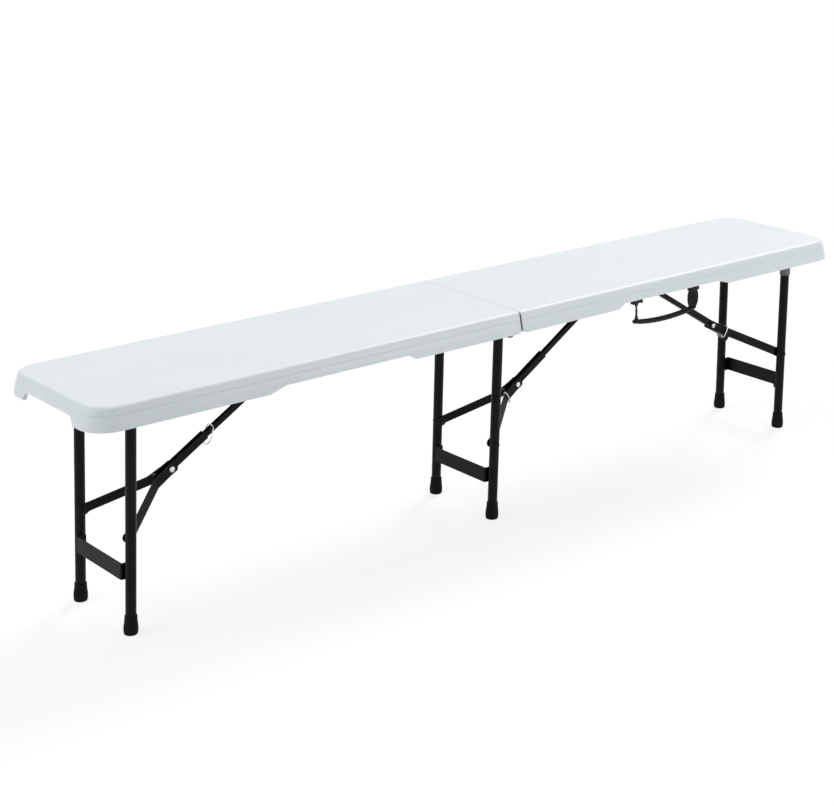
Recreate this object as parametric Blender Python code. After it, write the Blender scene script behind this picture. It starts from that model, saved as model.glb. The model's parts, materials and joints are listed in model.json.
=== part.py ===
# Folding bench: two moulded seat halves that close into a case, on three folding leg frames
import math

import bmesh
import bpy
from mathutils import Vector

# Seat, in metres: the top in use is TOP_Z above the floor, and the halves meet at X = 0
LENGTH = 1.830
WIDTH = 0.310
TOP_Z = 0.434
SKIRT_DEPTH = 0.040
PANEL_THICKNESS = 0.0115
WALL = 0.0075
SEAM_WALL = 0.008
SEAM_GAP = 0.0008
OUTER_CORNER = 0.050
CORNER_TAPER = 0.4
SEAM_CORNER = 0.004
ARC_STEPS = 9
GROOVE_DROP = 0.0143
GROOVE_HEIGHT = 0.0020
GROOVE_DEPTH = 0.0010
ARCH_RISE = 0.0095
ARCH_START = 0.256
ARCH_END = 0.575
ARCH_SLOPE_NEAR = 0.016
ARCH_SLOPE_FAR = 0.033
HANDHOLD_HALF = 0.084
HANDHOLD_RISE = 0.0155
FOLD_CORNER = 0.009
GRIP_LINE_SETBACK = 0.036
GRIP_LINE_HALF = 0.034
GRIP_LINE_WIDTH = 0.003
GRIP_LINE_DEPTH = 0.0012
POCKET_DEPTH = 0.0022
POCKET_LENGTH = 0.052
POCKET_HALF_WIDTH = 0.118
POCKET_BEVEL = 0.008
LEFT_POCKETS = (0.092, 0.158, 0.224, 0.290, 0.356, 0.480, 0.546, 0.612, 0.678, 0.744)
RIGHT_POCKETS = (0.092, 0.158, 0.224, 0.290, 0.350, 0.496, 0.562, 0.628, 0.694, 0.760)

# The flared skirt, as depth below the top and inset from the rim
TOP_INSET = 0.0140
EDGE_PROFILE = ((0.0090, 0.0060), (0.0060, 0.0068), (0.0036, 0.0080), (0.0018, 0.0096),
                (0.0006, 0.0116), (0.0, TOP_INSET))
FACE_PROFILE = ((0.0400, 0.0), (0.0350, 0.0005), (0.0250, 0.0021), (0.0153, 0.0045))
INSIDE_PROFILE = ((PANEL_THICKNESS, 0.0170), (0.0155, 0.0130), (0.0260, 0.0100))

# Clearance between pieces that touch, and round pieces that turn in a hole
GAP = 0.0003

# Leg frames: the hinge tube, the two legs and the flat rail between them. The end frames hang
# at their own distances from the ends of the seat
LEFT_HINGE_SETBACK = 0.1085
RIGHT_HINGE_SETBACK = 0.0824
RIGHT_BRACE_REACH = 0.405
LEG_RADIUS = 0.0095
AXLE_RADIUS = 0.0100
LEG_INSET = 0.0682
LEG_SPREAD = WIDTH / 2 - LEG_INSET
AXLE_BEYOND = 0.0162
AXLE_END = LEG_SPREAD + AXLE_BEYOND
HINGE_RISE = 0.014
RAIL_HEIGHT = 0.030
RAIL_THICKNESS = 0.002
RAIL_OFFSET = 0.0115
RAIL_FLANGE = 0.0055
FOOT_HEIGHT = 0.034
FOOT_SOLE = 0.006
FOOT_RADIUS = 0.0130
FOOT_SOLE_RADIUS = 0.0112
FOOT_COLLAR_RADIUS = 0.0112
COLLAR_DROP = 0.020
COLLAR_LENGTH = 0.033
COLLAR_WALL = 0.0014

# Wishbone and link of each brace, along and across the line of the brace
ARM_THICKNESS = 0.002
ARM_HALF_HEIGHT = 0.009
TAB_HALF_HEIGHT = 0.0095
TAB_REACH = 0.0095
TAB_FLAT = 0.010
EAR_LENGTH = 0.040
EAR_FLAT = 0.008
EAR_SPLAY = 0.0042
EAR_REACH = 0.012
RIVET_RADIUS = 0.0030
RIVET_HEAD = 0.0055
RIVET_HEAD_HEIGHT = 0.0022
LINK_HALF_WIDTH = 0.0045
LINK_WALL = 0.0012
LINK_BOTTOM = -0.0042
LINK_TOP = 0.0060
LINK_END = 0.0065
SLEEVE_LENGTH = 0.088
SLEEVE_TAIL = 0.030
SLEEVE_TOP = 0.0085
HOOK_RISE = 0.0065
HOOK_LENGTH = 0.008
PIN_RADIUS = 0.0025
BRACKET_HALF_LENGTH = 0.009
BRACKET_THICKNESS = 0.0015
BRACKET_FOOT = 0.009
BRACKET_CLEARANCE = 0.0076
WIRE_RADIUS = 0.0013
LINK_RING_HALF = (0.0120, 0.0178)
LINK_RING_TILT = 37.0
LINK_RING_BEYOND = 0.005
ARM_RING_HALF = (0.0048, 0.0130)
ARM_RING_AT = 0.037
ARM_RING_SAG = 0.001
RING_SQUARENESS = 0.7

# Saddle clips that hold the hinge tubes under the seat
SADDLE_AT = 0.050
SADDLE_WIDTH = 0.016
SADDLE_THICKNESS = 0.0015
SADDLE_FOOT = 0.014

# Seam hinge: plates on both halves that turn on the middle frame's hinge tube
LEAF_RADIUS = 0.0165
LEAF_THICKNESS = 0.0020
LEAF_REACH = 0.060
LEAF_FLANGE = 0.012
LEAF_FLANGE_START = 0.022
LEAF_INSET = 0.0370
LEFT_LEAF_AT = WIDTH / 2 - LEAF_INSET
LEAF_PITCH = 0.0026
HUB_BEYOND = 0.0060
HUB_END = LEFT_LEAF_AT + HUB_BEYOND
CAP_RADIUS = 0.0125
CAP_HEIGHT = 0.0045
NOTCH_BEFORE = 0.0168
NOTCH_START = LEG_SPREAD - NOTCH_BEFORE
NOTCH_BEYOND = 0.0100
NOTCH_END = HUB_END + NOTCH_BEYOND
NOTCH_CLEARANCE = 0.0013

# Carry handle under the near skirt of the right half. Each arm has its width and its twist in degrees
HANDLE_CENTRE = 0.4075
HANDLE_HALF_SPAN = 0.082
HANDLE_DROP = 0.0415
HANDLE_SAG = 0.0075
BLADES = (("left", -1, 0.0170, 51.0), ("right", 1, 0.0223, 35.0))
BLADE_THICKNESS = 0.003
BLADE_ROOT = 0.78
GRIP_BEYOND = 0.006
GRIP_HALF_HEIGHT = 0.0052
GRIP_HALF_DEPTH = 0.0068
PIVOT_RADIUS = 0.0020
EYE_RADIUS = 0.0045
EYE_HALF = 0.0100
LUG_THICKNESS = 0.0025
BASE_HALF_DEPTH = 0.0038
BASE_RISE = 0.0075
HANDLE_SETBACK = INSIDE_PROFILE[0][1] + GAP + BASE_HALF_DEPTH

# Each leg frame, from its hinge: lean at rest in degrees, brace joint, brace anchor, distances
# down the leg to the brace's pivot and to the rail
FOLD_Z = TOP_Z - SKIRT_DEPTH
CEILING_Z = TOP_Z - PANEL_THICKNESS
FRAME_HINGE_Z = FOLD_Z + HINGE_RISE
RIGHT_HINGE_X = LENGTH / 2 - RIGHT_HINGE_SETBACK
MID_BRACE_REACH = RIGHT_HINGE_X - RIGHT_BRACE_REACH - 2.0 * BRACKET_HALF_LENGTH - BRACKET_CLEARANCE
FRAMES = {
    "left": dict(x=LEFT_HINGE_SETBACK - LENGTH / 2, z=FRAME_HINGE_Z, turn=1, lean=3.3, joint=(0.1194, -0.1658),
                 anchor=(0.399, 0.0), pivot=0.2363, rail=0.2963),
    "mid": dict(x=0.0, z=FOLD_Z, turn=1, lean=1.6, joint=(0.1238, -0.1651),
                anchor=(MID_BRACE_REACH, HINGE_RISE), pivot=0.2392, rail=0.3046),
    "right": dict(x=RIGHT_HINGE_X, z=FRAME_HINGE_Z, turn=-1, lean=1.3, joint=(0.1327, -0.1633),
                  anchor=(RIGHT_BRACE_REACH, 0.0), pivot=0.2345, rail=0.3013),
}

SIDES = (("near", -1), ("far", 1))

# Colours as linear RGB, with metallic and roughness
FINISHES = {
    "seat_plastic": ((0.86, 0.89, 0.90), 0.0, 0.45),
    "black_paint": ((0.012, 0.012, 0.013), 0.0, 0.35),
    "rubber": ((0.010, 0.010, 0.010), 0.0, 0.75),
    "zinc": ((0.62, 0.63, 0.65), 1.0, 0.30),
    "black_plastic": ((0.014, 0.014, 0.015), 0.0, 0.55),
    "grey_plastic": ((0.36, 0.37, 0.38), 0.0, 0.50),
}


def clear_scene():
    """Remove everything that the start file holds."""
    for obj in list(bpy.data.objects):
        bpy.data.objects.remove(obj, do_unlink=True)


def finish(name, kind):
    """Make one Principled material for the node called name."""
    colour, metallic, roughness = FINISHES[kind]
    material = bpy.data.materials.new(name + "_" + kind)
    material.use_nodes = True
    shader = material.node_tree.nodes["Principled BSDF"]
    shader.inputs["Base Color"].default_value = (*colour, 1.0)
    shader.inputs["Metallic"].default_value = metallic
    shader.inputs["Roughness"].default_value = roughness
    return material


def mesh_object(name, points, faces, origin=(0.0, 0.0, 0.0)):
    """Turn world points and faces into an object whose origin is at the given place."""
    mesh = bpy.data.meshes.new(name)
    base = Vector(origin)
    mesh.from_pydata([Vector(p) - base for p in points], [], faces)
    work = bmesh.new()
    work.from_mesh(mesh)
    bmesh.ops.recalc_face_normals(work, faces=work.faces)
    work.to_mesh(mesh)
    work.free()
    obj = bpy.data.objects.new(name, mesh)
    obj.location = base
    bpy.context.collection.objects.link(obj)
    return obj


def node(name, kind, points, faces, origin):
    """Make one named piece with its finish, shaded smooth between its sharp edges."""
    obj = mesh_object(name, points, faces, origin)
    obj.data.materials.append(finish(name, kind))
    obj.data.shade_smooth()
    obj.data.set_sharp_from_angle(angle=math.radians(35.0))
    return obj


def loft(rings, capped=True):
    """Join rings of equal count into a skin, capped at both ends or closed on itself."""
    count = len(rings[0])
    points = [p for ring in rings for p in ring]
    faces = []
    spans = len(rings) - 1 if capped else len(rings)
    for i in range(spans):
        a = i * count
        b = ((i + 1) % len(rings)) * count
        for j in range(count):
            k = (j + 1) % count
            faces.append((a + j, a + k, b + k, b + j))
    if capped:
        faces.append(tuple(range(count - 1, -1, -1)))
        last = (len(rings) - 1) * count
        faces.append(tuple(range(last, last + count)))
    return points, faces


def triangles(points, faces):
    """Split every face into a fan of triangles, for skins that twist."""
    split = [(f[0], f[i], f[i + 1]) for f in faces for i in range(1, len(f) - 1)]
    return points, split


def circle(centre, across, up, radius, steps):
    """Points of a circle in the plane of two unit vectors."""
    ring = []
    for i in range(steps):
        a = 2.0 * math.pi * i / steps
        ring.append(centre + across * (radius * math.cos(a)) + up * (radius * math.sin(a)))
    return ring


def turned(profile, centre, axis, steps=20):
    """A solid of revolution from (distance along the axis, radius) pairs."""
    axis = Vector(axis).normalized()
    across = axis.orthogonal().normalized()
    up = axis.cross(across)
    rings = [circle(Vector(centre) + axis * d, across, up, r, steps) for d, r in profile]
    return loft(rings)


def prism(outline, start, end, to_world):
    """Sweep a closed outline of (a, b) pairs from start to end, placed by to_world(a, b, c)."""
    rings = [[to_world(a, b, c) for a, b in outline] for c in (start, end)]
    return loft(rings)


def arc(centre, radius, start, end, steps):
    """Points of an arc in a plane, with angles in degrees."""
    out = []
    for i in range(steps + 1):
        a = math.radians(start + (end - start) * i / steps)
        out.append((centre[0] + radius * math.cos(a), centre[1] + radius * math.sin(a)))
    return out


def along_y(a, b, c):
    """Place an outline drawn in X and Z at depth c."""
    return Vector((a, c, b))


def tool(target, operation, name, points, faces):
    """Apply a hidden solid to the target with a Boolean."""
    cutter = mesh_object(name, points, faces)
    cutter.hide_render = True
    cutter.display_type = "WIRE"
    modifier = target.modifiers.new(name, "BOOLEAN")
    modifier.operation = operation
    modifier.solver = "EXACT"
    modifier.object = cutter
    return cutter


def cut(target, name, shape):
    tool(target, "DIFFERENCE", name, *shape)


def add(target, name, shape):
    tool(target, "UNION", name, *shape)


def box(low, high):
    """A box between two corners."""
    outline = ((low[0], low[2]), (high[0], low[2]), (high[0], high[2]), (low[0], high[2]))
    return prism(outline, low[1], high[1], along_y)


class Frame:
    """Places of one leg frame. Local u runs toward the brace's anchor and z up, from the hinge."""

    def __init__(self, side, data):
        self.side = side
        self.turn = data["turn"]
        self.hinge = Vector((data["x"], 0.0, data["z"]))
        self.lean = math.radians(data["lean"])
        self.rail = data["rail"]
        self.joint = Vector((data["joint"][0], 0.0, data["joint"][1]))
        self.anchor = Vector((data["anchor"][0], 0.0, data["anchor"][1]))
        self.down = Vector((-math.sin(self.lean), 0.0, -math.cos(self.lean)))
        self.toward = Vector((math.cos(self.lean), 0.0, -math.sin(self.lean)))
        self.pivot = self.down * data["pivot"]

    def world(self, local):
        """World place of a point given in the frame's own axes."""
        return self.hinge + Vector((self.turn * local[0], self.turn * local[1], local[2]))

    def on_leg(self, toward, y, down):
        """World place by distances toward the brace, across, and down the leg."""
        local = self.down * down + self.toward * toward
        return self.world((local.x, y, local.z))

    def on_line(self, start, end):
        """A function that places (along, y, above) on the line from start to end."""
        along = (end - start).normalized()
        above = Vector((-along.z, 0.0, along.x))

        def place(t, y, n):
            local = start + along * t + above * n
            return self.world((local.x, y, local.z))

        return place

    def own_side(self, world_side):
        """The side in the frame's own axes that lies on a world side."""
        return world_side * self.turn


def seat_outline(inset, x_start, x_end, corner, inner_corner):
    """Plan outline of a seat half: square at the seam, rounded at the outer end."""
    half = WIDTH / 2 - inset
    outer = x_end - inset
    points = []
    points += arc((x_start + inner_corner, -half + inner_corner), inner_corner, 180, 270, 2)
    points += arc((outer - corner, -half + corner), corner, 270, 360, ARC_STEPS)
    points += arc((outer - corner, half - corner), corner, 0, 90, ARC_STEPS)
    points += arc((x_start + inner_corner, half - inner_corner), inner_corner, 90, 180, 2)
    return points


def seat_rings(turn):
    """Rings of the moulded shell, from the ceiling of its hollow down, out and up to its top."""
    def ring(depth, inset, corner, x_start=SEAM_GAP / 2):
        outline = seat_outline(inset, x_start, LENGTH / 2, corner, SEAM_CORNER)
        return [Vector((turn * x, turn * y, TOP_Z - depth)) for x, y in outline]

    def outer(depth, inset):
        return ring(depth, inset, OUTER_CORNER - CORNER_TAPER * inset)

    seam_inside = SEAM_GAP / 2 + SEAM_WALL
    rings = []
    for depth, inset in INSIDE_PROFILE:
        rings.append(ring(depth, inset, OUTER_CORNER - inset, seam_inside + inset - INSIDE_PROFILE[-1][1]))
    rings.append(ring(SKIRT_DEPTH, WALL, OUTER_CORNER - WALL, seam_inside))
    rings += [outer(depth, inset) for depth, inset in FACE_PROFILE]
    face_inset = FACE_PROFILE[-1][1]
    low = GROOVE_DROP + GROOVE_HEIGHT / 4
    high = GROOVE_DROP - GROOVE_HEIGHT / 4
    rings.append(outer(low, face_inset + GROOVE_DEPTH))
    rings.append(outer(high, face_inset + GROOVE_DEPTH))
    rings.append(outer(GROOVE_DROP - GROOVE_HEIGHT / 2, face_inset + GROOVE_DEPTH / 4))
    rings += [outer(depth, inset) for depth, inset in EDGE_PROFILE]
    return rings


def arch_cutter(turn):
    """The shallow arch along both long skirts, where the carry slot of the closed case is."""
    low = FOLD_Z - 0.01
    high = FOLD_Z + ARCH_RISE
    per_rise = 1.0 + 0.01 / ARCH_RISE
    outline = (
        (turn * (ARCH_START + ARCH_SLOPE_NEAR * (1.0 - per_rise)), low),
        (turn * (ARCH_END - ARCH_SLOPE_FAR * (1.0 - per_rise)), low),
        (turn * (ARCH_END - ARCH_SLOPE_FAR), high),
        (turn * (ARCH_START + ARCH_SLOPE_NEAR), high),
    )
    return prism(outline, -WIDTH, WIDTH, along_y)


def handhold_cutter(turn):
    """The wide hand-hold under the outer end skirt."""
    radius = HANDHOLD_RISE
    left = -HANDHOLD_HALF + radius
    right = HANDHOLD_HALF - radius
    outline = [(-HANDHOLD_HALF, FOLD_Z - 0.01), (HANDHOLD_HALF, FOLD_Z - 0.01)]
    outline += arc((right, FOLD_Z), radius, 0, 90, 6)
    outline += arc((left, FOLD_Z), radius, 90, 180, 6)

    def place(a, b, c):
        return Vector((turn * c, a, b))

    return prism(outline, LENGTH / 2 - 0.040, LENGTH / 2 + 0.010, place)


def seam_notch_cutter():
    """Room on the fold line for the hinge tube and, wider, for the legs and hinge plates."""
    slim = AXLE_RADIUS + NOTCH_CLEARANCE
    wide = LEAF_RADIUS + NOTCH_CLEARANCE
    profile = (
        (-NOTCH_END, wide), (-NOTCH_START, wide), (-NOTCH_START, slim),
        (NOTCH_START, slim), (NOTCH_START, wide), (NOTCH_END, wide),
    )
    return turned(profile, (0.0, 0.0, FOLD_Z), (0.0, 1.0, 0.0), 32)


def fold_corner_cutter(turn):
    """Round the lower corner of the skirts where the halves hinge."""
    edge = SEAM_GAP / 2
    radius = FOLD_CORNER
    outline = [(turn * -0.01, FOLD_Z - 0.01), (turn * (edge + radius), FOLD_Z - 0.01)]
    curve = arc((edge + radius, FOLD_Z + radius), radius, 270, 180, 5)
    outline += [(turn * x, z) for x, z in curve]
    outline += [(turn * -0.01, FOLD_Z + radius)]
    return prism(outline, -WIDTH, WIDTH, along_y)


def pocket_cutter(centre):
    """A shallow moulded recess in the underside, between two cross ribs."""
    rings = []
    for z, shrink in ((CEILING_Z - 0.002, 0.0), (CEILING_Z + POCKET_DEPTH, POCKET_DEPTH)):
        a = POCKET_LENGTH / 2 - shrink
        b = POCKET_HALF_WIDTH - shrink
        r = POCKET_BEVEL
        outline = arc((a - r, b - r), r, 0, 90, 3) + arc((r - a, b - r), r, 90, 180, 3)
        outline += arc((r - a, r - b), r, 180, 270, 3) + arc((a - r, r - b), r, 270, 360, 3)
        rings.append([Vector((centre + x, y, z)) for x, y in outline])
    return loft(rings)


def grip_line_cutter():
    """The fine moulded line across the top near the right end."""
    half = GRIP_LINE_WIDTH / 2
    run = GRIP_LINE_HALF - half
    outline = arc((0.0, run), half, 0, 180, 6) + arc((0.0, -run), half, 180, 360, 6)

    def place(a, b, c):
        return Vector((LENGTH / 2 - GRIP_LINE_SETBACK + a, b, c))

    return prism(outline, TOP_Z - GRIP_LINE_DEPTH, TOP_Z + 0.002, place)


def build_seat(side, turn, pockets):
    """One moulded half of the seat."""
    name = "seat_" + side
    points, faces = loft(seat_rings(turn))
    origin = (0.0, 0.0, FOLD_Z)
    seat = node(name, "seat_plastic", points, faces, origin)
    cut(seat, name + "_arch", arch_cutter(turn))
    cut(seat, name + "_handhold", handhold_cutter(turn))
    cut(seat, name + "_notch", seam_notch_cutter())
    cut(seat, name + "_corner", fold_corner_cutter(turn))
    for i, x in enumerate(pockets):
        cut(seat, "%s_pocket_%d" % (name, i), pocket_cutter(turn * x))
    if turn > 0:
        cut(seat, name + "_grip_line", grip_line_cutter())


def build_legs(frame):
    """The hinge tube with its two legs, and the bores for the brace pivots."""
    name = frame.side + "_legs"
    half = HUB_END if frame.side == "mid" else AXLE_END
    axle = turned(((-half, AXLE_RADIUS), (half, AXLE_RADIUS)), frame.hinge, (0, 1, 0), 24)
    legs = node(name, "black_paint", *axle, frame.hinge)
    for label, sign in SIDES:
        y = frame.own_side(sign) * LEG_SPREAD
        end = leg_length(frame)
        rings = []
        for down in (0.0, end):
            centre = frame.on_leg(0.0, y, down)
            across = (frame.on_leg(1.0, y, down) - centre).normalized()
            rings.append(circle(centre, across, Vector((0, 1, 0)), LEG_RADIUS, 24))
        add(legs, name + "_" + label, loft(rings))
    centre = frame.world(frame.pivot)
    reach = LEG_SPREAD + LEG_RADIUS + 0.01
    bore = RIVET_RADIUS + GAP
    cut(legs, name + "_bore", turned(((-reach, bore), (reach, bore)), centre, (0, 1, 0), 16))


def leg_length(frame):
    """Length of a leg from its hinge to just above the sole of its foot."""
    drop = frame.hinge.z - FOOT_SOLE - GAP - LEG_RADIUS * math.sin(frame.lean)
    return drop / math.cos(frame.lean)


def build_feet(frame):
    """Rubber feet with a flat sole on the floor, each sleeved over its leg's end."""
    bore = LEG_RADIUS / math.cos(frame.lean) + GAP
    outer = (
        (0.0, FOOT_SOLE_RADIUS), (0.0010, FOOT_SOLE_RADIUS + 0.0009), (0.0040, FOOT_RADIUS - 0.0003),
        (0.0095, FOOT_RADIUS), (0.0150, FOOT_RADIUS - 0.0003), (0.0215, FOOT_RADIUS - 0.0012),
        (0.0280, FOOT_COLLAR_RADIUS), (FOOT_HEIGHT - 0.0006, FOOT_COLLAR_RADIUS - 0.0001),
        (FOOT_HEIGHT, FOOT_COLLAR_RADIUS - 0.0006),
    )
    inner = ((FOOT_HEIGHT, bore), (FOOT_SOLE, bore))
    slope = math.tan(frame.lean)
    for label, sign in SIDES:
        y = sign * LEG_SPREAD
        rings = []
        for z, radius in outer + inner:
            x = frame.hinge.x - frame.turn * (frame.hinge.z - z) * slope
            rings.append(circle(Vector((x, y, z)), Vector((1, 0, 0)), Vector((0, 1, 0)), radius, 24))
        node("%s_foot_%s" % (frame.side, label), "rubber", *loft(rings), frame.hinge)


def build_rail(frame):
    """The flat rail between the legs, with its ends bent back to them."""
    inside = LEG_SPREAD - LEG_RADIUS - GAP
    outer = -RAIL_OFFSET - RAIL_THICKNESS
    inner = -RAIL_OFFSET
    bend = RAIL_THICKNESS
    half = inside - RAIL_THICKNESS
    outline = [
        (RAIL_FLANGE, -inside), (outer + bend, -inside), (outer, -inside + bend),
        (outer, inside - bend), (outer + bend, inside), (RAIL_FLANGE, inside),
        (RAIL_FLANGE, half), (inner, half), (inner, -half), (RAIL_FLANGE, -half),
    ]
    start = frame.rail - RAIL_HEIGHT / 2
    end = frame.rail + RAIL_HEIGHT / 2
    shape = prism(outline, start, end, frame.on_leg)
    node(frame.side + "_rail", "black_paint", *shape, frame.hinge)


def arm_stations(length):
    """Centre line of a wishbone arm from its ear at the joint to its tab on the leg."""
    ear_y = LINK_HALF_WIDTH + GAP + LINK_WALL + GAP + ARM_THICKNESS / 2
    tab_y = LEG_SPREAD - LEG_RADIUS - GAP - ARM_THICKNESS / 2
    tab = -length
    return [
        (EAR_REACH, ear_y, 0.0035), (EAR_REACH - 0.0015, ear_y, 0.0065),
        (EAR_REACH - 0.0045, ear_y, ARM_HALF_HEIGHT), (-EAR_FLAT, ear_y, ARM_HALF_HEIGHT),
        (-EAR_LENGTH, ear_y + EAR_SPLAY, ARM_HALF_HEIGHT),
        (tab + TAB_FLAT, tab_y, ARM_HALF_HEIGHT), (tab + 0.003, tab_y, TAB_HALF_HEIGHT),
        (tab - 0.0045, tab_y, TAB_HALF_HEIGHT - 0.0010), (tab - 0.0078, tab_y, 0.0058),
        (tab - TAB_REACH, tab_y, 0.0025),
    ]


def build_arm(frame, label, sign):
    """One flat arm of the wishbone, on edge, from the joint to its leg."""
    name = "%s_arm_%s" % (frame.side, label)
    line = frame.on_line(frame.pivot, frame.joint)
    length = (frame.joint - frame.pivot).length
    own = frame.own_side(sign)
    stations = arm_stations(length)
    rings = []
    for i, (t, y, height) in enumerate(stations):
        before = stations[max(i - 1, 0)]
        after = stations[min(i + 1, len(stations) - 1)]
        run = Vector((after[0] - before[0], after[1] - before[1]))
        first = Vector((t - before[0], y - before[1]))
        second = Vector((after[0] - t, after[1] - y))
        run.normalize()
        stretch = 1.0
        if first.length > 0.0 and second.length > 0.0:
            run = (first.normalized() + second.normalized()).normalized()
            stretch = 1.0 / max(run.dot(first.normalized()), 0.5)
        half = ARM_THICKNESS / 2 * stretch
        side = Vector((-run.y, run.x)) * half
        ring = []
        for s, h in ((1, -1), (1, 1), (-1, 1), (-1, -1)):
            ring.append(line(length + t + s * side.x, own * (y + s * side.y), h * height))
        rings.append(ring)
    origin = frame.world(frame.pivot)
    arm = node(name, "black_paint", *loft(rings), origin)
    bore = RIVET_RADIUS + GAP
    for where, local in (("joint", frame.joint), ("pivot", frame.pivot)):
        place = frame.world(local)
        shape = turned(((-LEG_SPREAD, bore), (LEG_SPREAD, bore)), place, (0, 1, 0), 16)
        cut(arm, name + "_" + where, shape)


def dome(start, radius, height):
    """Profile of a low domed rivet head, from its seat outward."""
    return [(start, radius), (start + height * 0.45, radius * 0.93), (start + height * 0.8, radius * 0.68),
            (start + height, radius * 0.30)]


def build_rivets(frame, label, sign):
    """The rivet stub in the ear at the brace joint, and the rivet through the leg."""
    ear = LINK_HALF_WIDTH + GAP + LINK_WALL + GAP
    outside = ear + ARM_THICKNESS + GAP
    axis = (0, sign, 0)
    profile = [(ear + GAP, RIVET_RADIUS), (outside, RIVET_RADIUS)]
    profile += dome(outside, RIVET_HEAD, RIVET_HEAD_HEIGHT)
    name = "%s_joint_rivet_%s" % (frame.side, label)
    origin = frame.world(frame.pivot)
    node(name, "zinc", *turned(profile, frame.world(frame.joint), axis, 16), origin)

    inner = LEG_SPREAD - LEG_RADIUS - GAP - ARM_THICKNESS - GAP
    outer = LEG_SPREAD + LEG_RADIUS + GAP
    head = dome(inner, RIVET_HEAD, -RIVET_HEAD_HEIGHT)
    profile = head[::-1] + [(inner, RIVET_RADIUS), (outer, RIVET_RADIUS)]
    profile += dome(outer, RIVET_HEAD - 0.0008, RIVET_HEAD_HEIGHT * 0.7)
    name = "%s_leg_rivet_%s" % (frame.side, label)
    node(name, "black_paint", *turned(profile, origin, axis, 16), frame.hinge)


def channel(half_width, wall, bottom, top):
    """Outline of an upright U channel as (y, above) pairs."""
    inner = half_width - wall
    floor = bottom + wall
    return [(-half_width, top), (-half_width, bottom + wall / 2), (-half_width + wall / 2, bottom),
            (half_width - wall / 2, bottom), (half_width, bottom + wall / 2), (half_width, top),
            (inner, top), (inner, floor), (-inner, floor), (-inner, top)]


def build_link(frame):
    """The upper link: a slim channel, with a deeper channel round its lower part."""
    line = frame.on_line(frame.joint, frame.anchor)
    length = (frame.anchor - frame.joint).length
    origin = frame.world(frame.anchor)

    def place(y, n, t):
        return line(t, y, n)

    outline = channel(LINK_HALF_WIDTH, LINK_WALL, LINK_BOTTOM, LINK_TOP)
    name = frame.side + "_link"
    link = node(name, "black_paint", *prism(outline, -0.010, length + LINK_END, place), origin)
    bore = PIN_RADIUS + GAP
    span = LINK_HALF_WIDTH + 0.01
    cut(link, name + "_bore", turned(((-span, bore), (span, bore)), origin, (0, 1, 0), 16))

    sleeve_half = LINK_HALF_WIDTH + GAP + LINK_WALL
    bottom = LINK_BOTTOM - GAP - LINK_WALL
    outline = channel(sleeve_half, LINK_WALL, bottom, SLEEVE_TOP)
    name = frame.side + "_sleeve"
    sleeve = node(name, "black_paint", *prism(outline, -SLEEVE_TAIL, SLEEVE_LENGTH, place), origin)
    hook = [(-SLEEVE_TAIL, bottom), (-SLEEVE_TAIL + HOOK_LENGTH * 0.4, bottom),
            (-SLEEVE_TAIL + HOOK_LENGTH * 0.4, SLEEVE_TOP + HOOK_RISE * 0.55),
            (-SLEEVE_TAIL - HOOK_LENGTH * 0.35, SLEEVE_TOP + HOOK_RISE),
            (-SLEEVE_TAIL - HOOK_LENGTH * 0.6, SLEEVE_TOP + HOOK_RISE * 0.5),
            (-SLEEVE_TAIL - HOOK_LENGTH * 0.2, SLEEVE_TOP)]

    def place_hook(t, n, y):
        return line(t, y, n)

    inner = sleeve_half - LINK_WALL - GAP
    add(sleeve, name + "_hook", prism(hook, -inner, inner, place_hook))


def ring_loop(half, steps=28):
    """Outline of an oval wire loop as (across, up) pairs."""
    out = []
    for i in range(steps):
        angle = 2.0 * math.pi * i / steps
        c = math.cos(angle)
        s = math.sin(angle)
        a = math.copysign(abs(c) ** RING_SQUARENESS, c)
        b = math.copysign(abs(s) ** RING_SQUARENESS, s)
        out.append((half[0] * a, half[1] * b))
    return out


def wire_ring(loop, centre, across, up):
    """Skin of a closed wire loop in the plane of across and up."""
    path = [centre + across * a + up * b for a, b in loop]
    count = len(path)
    out = across.cross(up)
    rings = []
    for i in range(count):
        tangent = (path[(i + 1) % count] - path[i - 1]).normalized()
        rings.append(circle(path[i], out, tangent.cross(out), WIRE_RADIUS, 8))
    return loft(rings, capped=False)


def build_ring(frame):
    """The wire lock ring: hung over the link of the left brace, round the near arm of the others."""
    name = frame.side + "_lock_ring"
    across = Vector((0, 1, 0))
    if frame.side == "left":
        line = frame.on_line(frame.joint, frame.anchor)
        tilt = math.radians(LINK_RING_TILT)
        at = SLEEVE_LENGTH + LINK_RING_BEYOND
        middle = LINK_TOP + GAP + WIRE_RADIUS - LINK_RING_HALF[1] * math.sin(tilt)
        centre = line(at, 0.0, middle)
        up = line(at + math.cos(tilt), 0.0, middle + math.sin(tilt)) - centre
        shape = wire_ring(ring_loop(LINK_RING_HALF), centre, across, up)
        node(name, "zinc", *shape, frame.world(frame.anchor))
        return
    line = frame.on_line(frame.pivot, frame.joint)
    length = (frame.joint - frame.pivot).length
    up = (line(0, 0, 1) - line(0, 0, 0)).normalized()
    inner_y = LINK_HALF_WIDTH + GAP + LINK_WALL + GAP + WIRE_RADIUS
    y = frame.own_side(-1) * (inner_y + ARM_RING_HALF[0])
    centre = line(length - ARM_RING_AT, y, -ARM_RING_SAG)
    shape = wire_ring(ring_loop(ARM_RING_HALF), centre, across, up)
    node(name, "zinc", *shape, frame.world(frame.pivot))


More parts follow.
